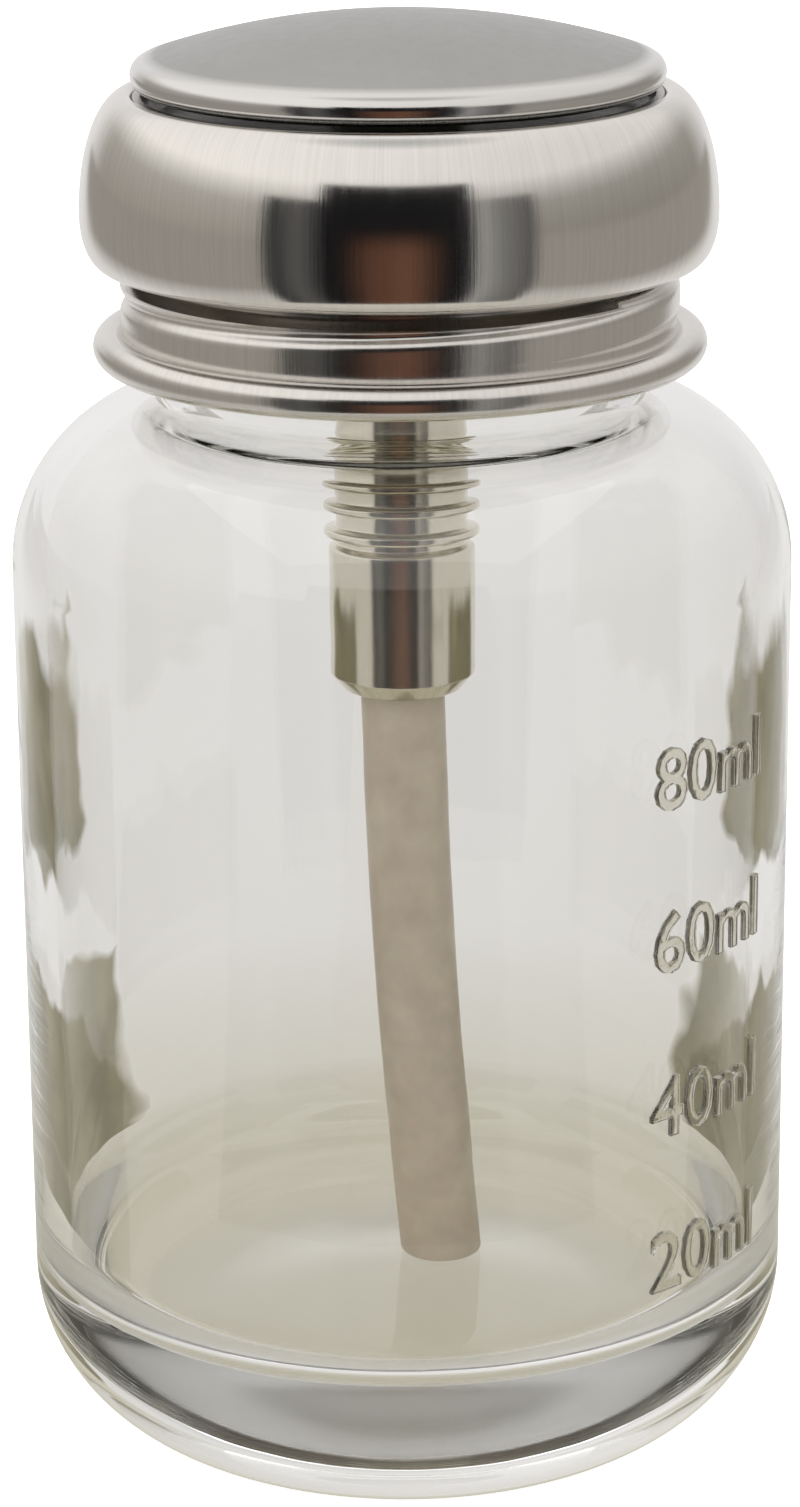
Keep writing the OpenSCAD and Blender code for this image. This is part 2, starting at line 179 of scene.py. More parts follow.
def turned(outline, steps, closed=True):
    """A bmesh turned round the Z axis from (radius, height) points in metres."""
    bm = bmesh.new()
    verts = [bm.verts.new((x, 0.0, z)) for x, z in outline]
    pairs = list(zip(verts, verts[1:]))
    if closed:
        pairs.append((verts[-1], verts[0]))
    edges = [bm.edges.new(pair) for pair in pairs]
    bmesh.ops.spin(bm, geom=verts + edges, cent=(0, 0, 0), axis=(0, 0, 1), dvec=(0, 0, 0),
                   angle=TURN, steps=steps, use_merge=True, use_duplicate=False)
    bmesh.ops.remove_doubles(bm, verts=bm.verts, dist=1e-6)
    bmesh.ops.recalc_face_normals(bm, faces=bm.faces)
    return bm


def finish(name, bm, body, material, nodes=(), crease=35.0):
    """Turns a bmesh into a piece that rides on a body and stands for CAD nodes."""
    mesh = bpy.data.meshes.new(name)
    bm.to_mesh(mesh)
    bm.free()
    mesh.shade_smooth()
    mesh.set_sharp_from_angle(angle=math.radians(crease))
    mesh.materials.append(material)
    piece = bpy.data.objects.new(name, mesh)
    bpy.context.scene.collection.objects.link(piece)
    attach(piece, body)
    if nodes:
        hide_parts(*nodes)
    return piece


# ---------------------------------------------------------------- node helpers


class Nodes:
    """A short way to write a node tree."""

    def __init__(self, tree):
        self.tree = tree
        self.tree.nodes.clear()

    def add(self, kind, **values):
        node = self.tree.nodes.new(kind)
        for key, value in values.items():
            setattr(node, key, value)
        return node

    def link(self, a, b):
        self.tree.links.new(a, b)

    def split(self, vector):
        """The X, Y and Z outputs of a vector."""
        node = self.add("ShaderNodeSeparateXYZ")
        self.link(vector, node.inputs[0])
        return node.outputs

    def noise(self, vector, scale, detail=4.0, roughness=0.55):
        node = self.add("ShaderNodeTexNoise")
        node.inputs["Scale"].default_value = scale
        node.inputs["Detail"].default_value = detail
        node.inputs["Roughness"].default_value = roughness
        self.link(vector, node.inputs["Vector"])
        return node.outputs["Fac"]

    def vector(self, operation, a, b=None, scale=None):
        node = self.add("ShaderNodeVectorMath", operation=operation)
        self.link(a, node.inputs[0])
        if isinstance(b, tuple):
            node.inputs[1].default_value = b
        elif b is not None:
            self.link(b, node.inputs[1])
        if scale is not None:
            node.inputs["Scale"].default_value = scale
        return node.outputs["Value" if operation == "LENGTH" else "Vector"]

    def math(self, operation, a, b=0.0):
        node = self.add("ShaderNodeMath", operation=operation)
        for socket, value in zip(node.inputs, (a, b)):
            if isinstance(value, (int, float)):
                socket.default_value = value
            else:
                self.link(value, socket)
        return node.outputs[0]

    def spread(self, value, low_in, high_in, low_out, high_out):
        node = self.add("ShaderNodeMapRange")
        sockets = ("From Min", "From Max", "To Min", "To Max")
        for key, number in zip(sockets, (low_in, high_in, low_out, high_out)):
            node.inputs[key].default_value = number
        self.link(value, node.inputs["Value"])
        return node.outputs["Result"]

    def ramp(self, value, stops):
        node = self.add("ShaderNodeValToRGB")
        elements = node.color_ramp.elements
        while len(elements) < len(stops):
            elements.new(0.5)
        for element, (position, rgb) in zip(elements, stops):
            element.position = position
            element.color = (*rgb, 1.0)
        self.link(value, node.inputs["Fac"])
        return node.outputs["Color"]

    def mix(self, factor, a):
        """A colour mix whose B socket is still open."""
        node = self.add("ShaderNodeMix", data_type="RGBA")
        self.link(factor, node.inputs["Factor"])
        self.link(a, node.inputs["A"])
        return node

    def output(self, kind, factor, a, b):
        """Sends a where factor is 0 and b where it is 1 to the tree's output."""
        blend = self.add("ShaderNodeMixShader")
        self.link(factor, blend.inputs[0])
        self.link(a, blend.inputs[1])
        self.link(b, blend.inputs[2])
        self.link(blend.outputs[0], self.add(kind).inputs["Surface"])


class Finish(Nodes):
    """The nodes of one material."""

    def __init__(self, name):
        self.material = bpy.data.materials.new(name)
        self.material.use_nodes = True
        super().__init__(self.material.node_tree)
        self.shader = self.add("ShaderNodeBsdfPrincipled")
        self.place = self.add("ShaderNodeTexCoord").outputs["Object"]

    def done(self):
        """Links the shader to the output and gives the material."""
        out = self.add("ShaderNodeOutputMaterial")
        self.link(self.shader.outputs["BSDF"], out.inputs["Surface"])
        return self.material

    def put(self, **sockets):
        for key, value in sockets.items():
            self.shader.inputs[key.replace("_", " ")].default_value = value

    def feed(self, socket, value):
        self.link(value, self.shader.inputs[socket])

    def bump(self, height, strength, distance):
        node = self.add("ShaderNodeBump")
        node.inputs["Strength"].default_value = strength
        node.inputs["Distance"].default_value = distance
        self.link(height, node.inputs["Height"])
        self.feed("Normal", node.outputs["Normal"])

    def round_axis(self, around, along):
        """A vector that changes with the angle round the Z axis and, slowly, with height."""
        flat = self.vector("NORMALIZE", self.vector("MULTIPLY", self.place, (1, 1, 0)))
        spoke = self.vector("SCALE", flat, scale=around)
        rise = self.vector("MULTIPLY", self.place, (0, 0, along))
        return self.vector("ADD", spoke, rise)

    def radius(self):
        return self.vector("LENGTH", self.vector("MULTIPLY", self.place, (1, 1, 0)))


def shade(rgb, factor):
    return tuple(min(1.0, v * factor) for v in rgb)


# ---------------------------------------------------------------- finishes


def glass_finish(tint):
    """Clear glass with faint waves, and a frosted underside."""
    n = Finish("clear_glass")
    n.put(Base_Color=(*tint, 1.0), IOR=1.5, Transmission_Weight=1.0)
    height = n.split(n.place)["Z"]
    n.feed("Roughness", n.spread(height, 1.0 * MM, 1.6 * MM, 0.4, 0.0))
    n.bump(n.noise(n.place, 90.0, 2.0), 0.05, 0.6 * MM)
    return n.done()


def raised_glass_finish(tint):
    """The slightly rounded-over glass of the raised marks."""
    n = Finish("raised_glass")
    n.put(Base_Color=(*tint, 1.0), Roughness=0.08, IOR=1.5, Transmission_Weight=1.0)
    n.bump(n.noise(n.place, 900.0, 2.0), 0.15, 0.2 * MM)
    return n.done()


def polished_finish(name, rgb, rough, streak=1.0):
    """Mirror-polished steel with faint upright streaks."""
    n = Finish(name)
    streaks = n.noise(n.round_axis(26.0, 30.0), 3.0, 6.0, 0.65)
    fine = n.noise(n.round_axis(160.0, 60.0), 3.0, 3.0)
    n.put(Metallic=1.0)
    n.feed("Base Color", n.ramp(streaks, [(0.3, shade(rgb, 0.95)), (0.7, shade(rgb, 1.04))]))
    n.feed("Roughness", n.spread(fine, 0.3, 0.7, rough, rough + 0.07 * streak))
    n.bump(streaks, 0.02 * streak, 0.4 * MM)
    return n.done()


def satin_finish(rgb, rough, rim_r):
    """Satin steel with fine turned grain; smoother at the rolled rim, where a painted highlight also lifts
    its colour.
    """
    n = Finish("satin_steel")
    turned_grain = n.vector("ADD", n.vector("SCALE", n.place, scale=700.0), n.round_axis(2.0, 0.0))
    grain = n.noise(turned_grain, 1.0, 3.0, 0.7)
    cloud = n.noise(n.place, 160.0, 3.0)
    edge = n.spread(n.radius(), rim_r - 1.2 * MM, rim_r - 0.3 * MM, 0.0, 1.0)
    base = n.math("ADD", n.spread(grain, 0.3, 0.7, rough - 0.04, rough + 0.05),
                  n.spread(cloud, 0.3, 0.7, -0.02, 0.03))
    n.feed("Roughness", n.math("SUBTRACT", base, n.math("MULTIPLY", edge, rough - 0.14)))
    # painted highlight: the rolled rim's colour is raised to 1.75 times the satin; its lower roughness is
    # real polish
    bright = n.mix(edge, n.ramp(cloud, [(0.3, shade(rgb, 0.96)), (0.7, shade(rgb, 1.04))]))
    bright.inputs["B"].default_value = (*shade(rgb, 1.75), 1.0)
    n.feed("Base Color", bright.outputs["Result"])
    n.put(Metallic=1.0)
    n.bump(grain, 0.05, 0.1 * MM)
    return n.done()


def plain_steel_finish():
    """Bright steel of the small turned parts."""
    n = Finish("bright_steel")
    cloud = n.noise(n.place, 500.0, 3.0)
    n.put(Metallic=1.0)
    n.feed("Base Color", n.ramp(cloud, [(0.3, (0.55, 0.54, 0.53)), (0.7, (0.68, 0.67, 0.66))]))
    n.feed("Roughness", n.spread(cloud, 0.3, 0.7, 0.18, 0.3))
    return n.done()


def plastic_finish(name, rgb, rough, clear=0.0, soft=0.0, darker=0.9):
    """Moulded plastic; clear lets light through it, soft scatters it."""
    n = Finish(name)
    cloud = n.noise(n.place, 350.0, 3.0)
    skin = n.noise(n.place, 2500.0, 2.0)
    n.feed("Base Color", n.ramp(cloud, [(0.3, shade(rgb, darker)), (0.7, shade(rgb, 1.05))]))
    n.feed("Roughness", n.spread(skin, 0.3, 0.7, rough - 0.03, rough + 0.06))
    n.put(IOR=1.48, Transmission_Weight=clear, Subsurface_Weight=soft, Subsurface_Scale=1.5 * MM)
    n.bump(skin, 0.05, 0.1 * MM)
    return n.done()


# ---------------------------------------------------------------- pieces


class JarOperator:
    """What every step of the build shares."""

    bl_options = {"REGISTER", "UNDO"}

    def execute(self, context):
        scene = context.scene
        self.build(scene.jar_shape, scene.jar_finish, scene.jar_studio)
        return {"FINISHED"}


def jar_outline(s):
    """The jar's section, from the middle of its underside round to the middle of its inside floor."""
    radius = high("glass_jar").x
    mouth = high("glass_jar").z
    inner = radius - s.wall
    lip = 0.6 * MM  # round at the mouth and at the neck's root
    fillet = 3.2 * MM  # round inside, from the shoulder into the neck
    ring = radius - s.heel_r
    round_r = radius - s.neck_r - lip + s.shoulder_in
    round_x = radius - round_r
    round_z = s.shoulder_z - math.sqrt(round_r ** 2 - s.shoulder_in ** 2)
    outer_end = math.degrees(math.acos(s.shoulder_in / round_r))
    inner_r = round_r - s.wall
    inner_end = math.degrees(math.acos((s.bore_r + fillet - round_x) / inner_r))
    ceiling = round_z + inner_r * math.sin(math.radians(inner_end))
    return (
        [(x, s.punt * (1 - (x / ring) ** 2) ** 2) for x in (ring * k / 16 for k in range(16))]
        + arc(ring, s.heel_r, s.heel_r, s.heel_r, -90, 0, 2 * QUARTER)
        + [(radius, s.heel_r + (round_z - s.heel_r) * k / 6) for k in range(1, 6)]
        + arc(round_x, round_z, round_r, round_r, 0, outer_end, 2 * QUARTER)
        + arc(s.neck_r + lip, s.shoulder_z + lip, lip, lip, 270, 180, 4)
        + arc(s.neck_r - lip, mouth - lip, lip, lip, 0, 90, 4)
        + arc(s.bore_r + lip, mouth - lip, lip, lip, 90, 180, 4)
        + arc(s.bore_r + fillet, ceiling + fillet, fillet, fillet, 180, 270, 6)
        + arc(round_x, round_z, inner_r, inner_r, inner_end, 0, 2 * QUARTER)[1:]
        + arc(inner - s.floor_r, s.floor_z + s.floor_r, s.floor_r, s.floor_r, 0, -90, QUARTER)
        + [(0.0, s.floor_z)]
    )


class SALON_OT_glass_jar(JarOperator, Operator):
    """Turn the glass jar with its thick base and neck"""

    bl_idname = "salon.glass_jar"
    bl_label = "Glass jar"

    def build(self, shape, look, studio):
        bm = turned(jar_outline(shape), shape.steps, closed=False)
        glass = glass_finish(look.glass)
        finish("glass_body", bm, "jar", glass, ["glass_jar"], 30.0)


def helix(profile, turns, pitch, per_turn):
    """A closed section, in (radius, height), wound up the Z axis."""
    bm = bmesh.new()
    face = bm.faces.new([bm.verts.new((x, 0.0, z)) for x, z in profile])
    steps = round(turns * per_turn)
    bmesh.ops.spin(bm, geom=[face], cent=(0, 0, 0), axis=(0, 0, 1), dvec=(0, 0, pitch * turns / steps),
                   angle=TURN * turns, steps=steps, use_duplicate=True)
    bmesh.ops.remove_doubles(bm, verts=bm.verts, dist=1e-7)
    bmesh.ops.recalc_face_normals(bm, faces=bm.faces)
    return bm


class SALON_OT_graduations(JarOperator, Operator):
    """Raise the volume marks on the glass"""

    bl_idname = "salon.graduations"
    bl_label = "Graduations"

    MARKS = (("20ml", 19.0), ("40ml", 30.2), ("60ml", 42.0), ("80ml", 53.4))  # words, height in mm
    MIDDLE = math.radians(50.0)  # from the front towards +X
    SUNK = 0.15  # how deep the marks reach into the glass, in mm
    TINT = (0.80, 0.78, 0.70)
    LONGEST = 0.6  # longest straight edge before it is bent round the jar, in mm

    def build(self, shape, look, studio):
        radius = high("glass_jar").x
        bm = bmesh.new()
        for words, level in self.MARKS:
            text = bpy.data.curves.new("mark", "FONT")
            text.body = words
            text.size = shape.digit
            text.align_x = "CENTER"
            text.align_y = "CENTER"
            text.extrude = 0.5 * (shape.raised + self.SUNK * MM)
            text.bevel_depth = 0.08 * MM
            text.resolution_u = 3
            holder = bpy.data.objects.new("mark", text)
            mesh = bpy.data.meshes.new_from_object(holder)
            part = bmesh.new()
            part.from_mesh(mesh)
            bmesh.ops.remove_doubles(part, verts=part.verts, dist=1e-6)
            long_edges = [e for e in part.edges
                          if abs(e.verts[0].co.x - e.verts[1].co.x) > self.LONGEST * MM]
            bmesh.ops.subdivide_edges(part, edges=long_edges, cuts=2)
            depth = radius + 0.5 * (shape.raised - self.SUNK * MM)
            for v in part.verts:
                angle = self.MIDDLE + v.co.x / radius
                reach = depth + v.co.z
                v.co = Vector((reach * math.sin(angle), -reach * math.cos(angle), level * MM + v.co.y))
            part.to_mesh(mesh)
            part.free()
            bm.from_mesh(mesh)
            bpy.data.objects.remove(holder)
            bpy.data.curves.remove(text)
            bpy.data.meshes.remove(mesh)
        glass = raised_glass_finish(self.TINT)
        finish("graduation_marks", bm, "jar", glass, ())


def cap_outline(s):
    """The cap's section, and the heights between which its thread is rolled."""
    top = high("screw_cap").z
    foot = low("screw_cap").z
    bead_r = high("screw_cap").x - s.bead
    bead_z = foot + s.bead
    band_low = bead_z + s.bead + 0.5 * MM
    band_high = high("glass_jar").z - 1.4 * MM
    hole = 5.2 * MM
    t = s.sheet
    outside = rounded([(hole, top, 0), (s.cap_r, top, 1.0 * MM), (s.cap_r, band_high + 0.8 * MM, 0.25 * MM),
                       (s.band_r, band_high, 0.4 * MM)], 5)
    band = [(s.band_r, band_high - 0.5 * MM + (band_low - band_high + 0.5 * MM) * k / 24) for k in range(25)]
    roll = arc(bead_r, bead_z, s.bead, s.bead, 128, -190, 26)
    roll_in = arc(bead_r, bead_z, s.bead - t, s.bead - t, -190, 128, 20)
    band_in = [(x - t, z) for x, z in reversed(band)]
    inside = rounded([(s.band_r - t, band_high - t, 0.2 * MM), (s.cap_r - t, band_high + 0.5 * MM, 0.2 * MM),
                      (s.cap_r - t, top - t, 0.5 * MM), (hole, top - t, 0)], 4)
    return outside[:-1] + band + roll + roll_in + band_in + inside[1:], band_low, band_high


class SALON_OT_screw_cap(JarOperator, Operator):
    """Turn the screw cap and roll its thread into the sheet"""

    bl_idname = "salon.screw_cap"
    bl_label = "Screw cap"

    GROOVE = 0.42  # depth of the rolled thread in mm
    WIDTH = 0.16  # half width of the groove, as a share of the pitch

    def build(self, shape, look, studio):
        outline, band_low, band_high = cap_outline(shape)
        bm = turned(outline, shape.steps)
        middle = 0.5 * (band_low + band_high)
        first = band_low - 0.4 * MM
        last = band_high + 0.2 * MM
        for v in bm.verts:
            radius = math.hypot(v.co.x, v.co.y)
            if radius < shape.cap_r or not first < v.co.z < last:
                continue
            turn = math.atan2(v.co.y, v.co.x) / TURN
            phase = ((v.co.z - middle) / shape.pitch - turn) % 1.0
            edge = min(v.co.z - first, last - v.co.z) / (0.8 * MM)
            dip = math.exp(-((phase - 0.5) / self.WIDTH) ** 2) * min(1.0, max(0.0, edge))
            shift = 1.0 - self.GROOVE * MM * dip / radius
            v.co.x *= shift
            v.co.y *= shift
        bmesh.ops.recalc_face_normals(bm, faces=bm.faces)
        steel = polished_finish("rolled_steel", shade(look.steel, 0.98), 0.14, 1.6)
        finish("cap_sheet", bm, "cap", steel, ["screw_cap"], 40.0)


def head_outline(s):
    """The press head's section, up its outside and back down its inside."""
    foot = low("head_shell").z
    top = high("head_shell").z
    belly_r = high("head_shell").x
    belly_z = foot + 3.2 * MM
    t = 0.6 * MM
    roll = 0.45 * MM
    skirt = low("dish_plate").z - 0.5 * MM
    crown = belly_r - s.opening_r - roll
    outside = (arc(s.foot_r, belly_z, belly_r - s.foot_r, belly_z - foot, -88, 0, QUARTER)
               + arc(s.opening_r + roll, belly_z, crown, top - belly_z, 0, 90, 3 * QUARTER)[1:]
               + arc(s.opening_r + roll, top - roll, roll, roll, 90, 180, 5)[1:])
    inside = ([(s.opening_r, skirt), (s.opening_r + t, skirt)]
              + arc(s.opening_r + roll, belly_z, crown - t, top - belly_z - 1.4 * t, 86, 0, 2 * QUARTER)
              + arc(s.foot_r - t, belly_z, belly_r - s.foot_r, belly_z - foot - 0.5 * MM, 0, -86, QUARTER)
              + [(s.foot_r - t, foot + 0.1 * MM)])
    return outside + inside


class SALON_OT_press_head(JarOperator, Operator):
    """Turn the bulged press head and cut the notch for the hinge"""

    bl_idname = "salon.press_head"
    bl_label = "Press head"

    def build(self, shape, look, studio):
        bm = turned(head_outline(shape), shape.steps)
        steel = polished_finish("polished_steel", look.steel, look.polish_rough)
        head = finish("head_bowl", bm, "head", steel, ["head_shell"], 40.0)
        self.notch(head, shape)

    def notch(self, head, shape):
        """Cuts a square notch out of the crown, a little wider than the hinge."""
        lo, hi = low("hinge_bracket"), high("hinge_bracket")
        side = 8 * MM
        cutter = bpy.data.meshes.new("notch")
        box = bmesh.new()
        bmesh.ops.create_cube(box, size=1.0)
        width = hi.x - lo.x + 0.6 * MM
        sill = low("lid_hinge_leaf").z - 1.2 * MM
        bmesh.ops.scale(box, verts=box.verts, vec=(width, side, side))
        bmesh.ops.translate(box, verts=box.verts, vec=(0, shape.opening_r + MM, sill + side / 2))
        box.to_mesh(cutter)
        box.free()
        tool = bpy.data.objects.new("notch", cutter)
        bpy.context.scene.collection.objects.link(tool)
        cut = head.modifiers.new("Notch", "BOOLEAN")
        cut.object = tool
        cut.operation = "DIFFERENCE"
        cut.solver = "EXACT"
        graph = bpy.context.evaluated_depsgraph_get()
        mesh = bpy.data.meshes.new_from_object(head.evaluated_get(graph))
        head.modifiers.clear()
        head.data = mesh
        bpy.data.objects.remove(tool)


class SALON_OT_flip_lid(JarOperator, Operator):
    """Turn the domed lid with its rolled rim"""

    bl_idname = "salon.flip_lid"
    bl_label = "Flip lid"

    def build(self, shape, look, studio):
        top = high("lid_shell").z
        foot = low("lid_shell").z
        outer = high("lid_shell").x
        rim = 1.05 * MM
        t = 0.6 * MM
        rim_r = outer - rim
        rim_z = foot + rim
        rise = top - rim_z
        dome = (rim_r ** 2 + rise ** 2 - rim ** 2) / (2 * (rise - rim))
        tilt = math.degrees(math.asin(rim_r / (dome - rim)))
        outline = (arc(0, top - dome, dome, dome, 90, 90 - tilt, 2 * QUARTER)
                   + arc(rim_r, rim_z, rim, rim, 90 - tilt, -90, QUARTER)[1:]
                   + [(rim_r - 0.9 * MM, foot), (rim_r - 0.9 * MM, foot + t)]
                   + arc(rim_r, rim_z, rim - t, rim - t, -90, 90 - tilt, 8)
                   + arc(0, top - dome, dome - t, dome - t, 90 - tilt, 90, QUARTER)[1:])
        bm = turned(outline, shape.steps, closed=False)
        steel = satin_finish(look.satin, look.satin_rough, outer - 0.5 * MM)
        finish("lid_dome", bm, "lid", steel, ["lid_shell"], 40.0)


class SALON_OT_dish(JarOperator, Operator):
    """Turn the shallow dish under the lid"""

    bl_idname = "salon.dish"
    bl_label = "Dish"

    def build(self, shape, look, studio):
        lo, hi = low("dish_plate"), high("dish_plate")
        t = 0.6 * MM
        hole = 2.02 * MM
        outline = rounded([(hole, lo.z, 0), (hole, lo.z + t, 0.15 * MM), (hi.x - t, lo.z + t, 1.2 * MM),
                           (hi.x - t, hi.z, 0.1 * MM), (hi.x, hi.z, 0.1 * MM), (hi.x, lo.z, 1.8 * MM)], 8)
        steel = polished_finish("dish_steel", shade(look.satin, 1.05), 0.22)
        finish("dish_bowl", turned(outline, shape.steps), "head", steel, ["dish_plate"], 40.0)


class SALON_OT_pump(JarOperator, Operator):
    """Turn the ribbed pump housing"""

    bl_idname = "salon.pump"
    bl_label = "Pump housing"

    # radii
    BARREL = 5.05 * MM
    WAIST = 4.5 * MM
    RIB = 5.35 * MM
    NECK = 5.0 * MM
    CYLINDER = 3.65 * MM
    CAGE = 2.5 * MM
    SOCKET = 3.05 * MM
    ORIFICE = 1.2 * MM

    def build(self, shape, look, studio):
        corners = self.outside(low("pump_housing").z) + self.flange() + self.bore(low("pump_housing").z)
        plating = polished_finish("pump_plating", look.pump, 0.12, 0.8)
        bm = turned(rounded(corners, 4), 96)
        finish("pump_barrel", bm, "cap", plating, ["pump_housing"], 30.0)

    def outside(self, foot):
        """Corners of the foot with its tube socket, the barrel, the waist and the ribs."""
        corners = [(self.ORIFICE, foot + 3 * MM, 0), (self.SOCKET, foot + 3 * MM, 0.1 * MM),
                   (self.SOCKET, foot, 0.2 * MM), (self.BARREL - 0.9 * MM, foot, 0.3 * MM),
                   (self.BARREL, foot + 1.1 * MM, 0.3 * MM), (self.BARREL, foot + 10.4 * MM, 0.3 * MM),
                   (self.WAIST, foot + 10.7 * MM, 0.15 * MM)]
        for k in range(3):
            z = foot + (11.2 + 2.2 * k) * MM
            corners += [(self.WAIST, z, 0.12 * MM), (self.RIB, z + 0.1 * MM, 0.25 * MM),
                        (self.RIB, z + 0.8 * MM, 0.25 * MM), (self.WAIST, z + 0.9 * MM, 0.12 * MM)]
        return corners

    def flange(self):
        """Corners of the flange that the washer sits on, and of the neck through the cap."""
        top = high("pump_housing").z
        edge = high("pump_housing").x
        z = top - 3.6 * MM
        return [(self.WAIST, z, 0.3 * MM), (edge, z, 0.1 * MM), (edge, z + 0.7 * MM, 0.1 * MM),
                (self.NECK, z + 0.7 * MM, 0), (self.NECK, top, 0.1 * MM), (self.CYLINDER, top, 0.1 * MM)]

    def bore(self, foot):
        """Corners of the cylinder, the ball's cage and its seat."""
        return [(self.CYLINDER, foot + 8.2 * MM, 0), (self.CAGE, foot + 8.2 * MM, 0),
                (self.CAGE, foot + 5.1 * MM, 0), (self.ORIFICE, foot + 3.8 * MM, 0)]


class SALON_OT_dip_tube(JarOperator, Operator):
    """Draw the milky dip tube from the pump down to the floor"""

    bl_idname = "salon.dip_tube"
    bl_label = "Dip tube"

    RINGS = 40
    BOW = 0.5  # sideways bow in mm
    LEAN = math.radians(3.2)
    PIVOT = 1.5  # depth of the point it leans about, below its top, in mm

    def build(self, shape, look, studio):
        lo, hi = low("dip_tube"), high("dip_tube")
        outer = 0.5 * (hi.y - lo.y)
        inner = outer - 0.9 * MM
        outline = rounded([(inner, 0.0, 0.1 * MM), (outer, 0.0, 0.15 * MM), (outer, 1.0, 0.15 * MM),
                           (inner, 1.0, 0.1 * MM)], 2)
        long = hi.z - lo.z
        outline = [(x, z if z < 0.5 else z - 1.0 + long) for x, z in outline]
        bm = turned(outline, 64)
        walls = [e for e in bm.edges if abs(e.verts[0].co.z - e.verts[1].co.z) > 0.5 * long]
        bmesh.ops.subdivide_edges(bm, edges=walls, cuts=self.RINGS, use_grid_fill=True)
        for v in bm.verts:
            share = 1.0 - v.co.z / long
            bow = self.BOW * MM * math.sin(math.pi * share)
            v.co.x += math.tan(self.LEAN) * (long * share - self.PIVOT * MM) - bow
            v.co.z += lo.z
        plastic = plastic_finish("tube_plastic", look.tube, 0.34, clear=0.12, soft=0.25, darker=0.86)
        finish("tube_body", bm, "cap", plastic, ["dip_tube"], 35.0)


class SALON_OT_spring(JarOperator, Operator):
    """Wind the return spring"""

    bl_idname = "salon.spring"
    bl_label = "Return spring"

    TURNS = 7
    PER_TURN = 28

    def build(self, shape, look, studio):
        lo, hi = low("return_spring"), high("return_spring")
        wire = 0.35 * MM
        coil = hi.x - wire
        section = arc(coil, lo.z + wire, wire, wire, 0, 315, 7)
        rise = (hi.z - lo.z - 2 * wire) / self.TURNS
        bm = helix(section, self.TURNS, rise, self.PER_TURN)
        steel = bpy.data.materials["bright_steel"]
        piece = finish("spring_wire", bm, "cap", steel, ["return_spring"])
        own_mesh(piece)


class SALON_OT_small_parts(JarOperator, Operator):
    """Give the small turned parts their finishes"""

    bl_idname = "salon.small_parts"
    bl_label = "Small parts"

    def build(self, shape, look, studio):
        steel = plain_steel_finish()
        white = plastic_finish("white_plastic", (0.80, 0.80, 0.76), 0.3, soft=0.1)
        cream = plastic_finish("cream_plastic", (0.72, 0.69, 0.56), 0.3, soft=0.1)
        rubber = plastic_finish("black_rubber", (0.03, 0.03, 0.033), 0.6)
        foam = plastic_finish("liner_foam", (0.74, 0.74, 0.72), 0.7)
        groups = (
            (steel, ("inlet_ball", "outlet_ball", "pump_stem")),
            (steel, ("hinge_bracket", "hinge_pin", "lid_hinge_leaf")),
            (white, ("stem_guide", "spring_seat", "piston", "lid_liner")),
            (cream, ("housing_nut", "stem_collar", "outlet_nozzle")),
            (rubber, ("housing_washer", "piston_seal")),
            (foam, ("cap_liner",)),
        )
        for material, nodes in groups:
            for node in nodes:
                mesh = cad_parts[node].data
                mesh.materials.clear()
                mesh.materials.append(material)


# ---------------------------------------------------------------- studio


def overhead_light(power):
    """A wide soft light above the jar that doesn't show in the steel."""
    place = Vector((0.0, -0.05, 0.9))
    light = bpy.data.lights.new("overhead", "AREA")
    light.shape = "RECTANGLE"
    light.size = light.size_y = 1.2
    light.energy = power
    holder = bpy.data.objects.new("overhead", light)
    holder.location = place
    holder.rotation_mode = "QUATERNION"
    holder.rotation_quaternion = (Vector((0, 0, 0.05)) - place).to_track_quat("-Z", "Y")
    holder.visible_glossy = False
    bpy.context.scene.collection.objects.link(holder)


def facing(n):
    """Share of the way round from 60 degrees left to 60 degrees right of the front, and the height."""
    parts = n.split(n.place)
    angle = n.math("ARCTAN2", parts["X"], n.math("MULTIPLY", parts["Y"], -1.0))
    return n.spread(angle, math.radians(-60), math.radians(60), 0.0, 1.0), parts["Z"]


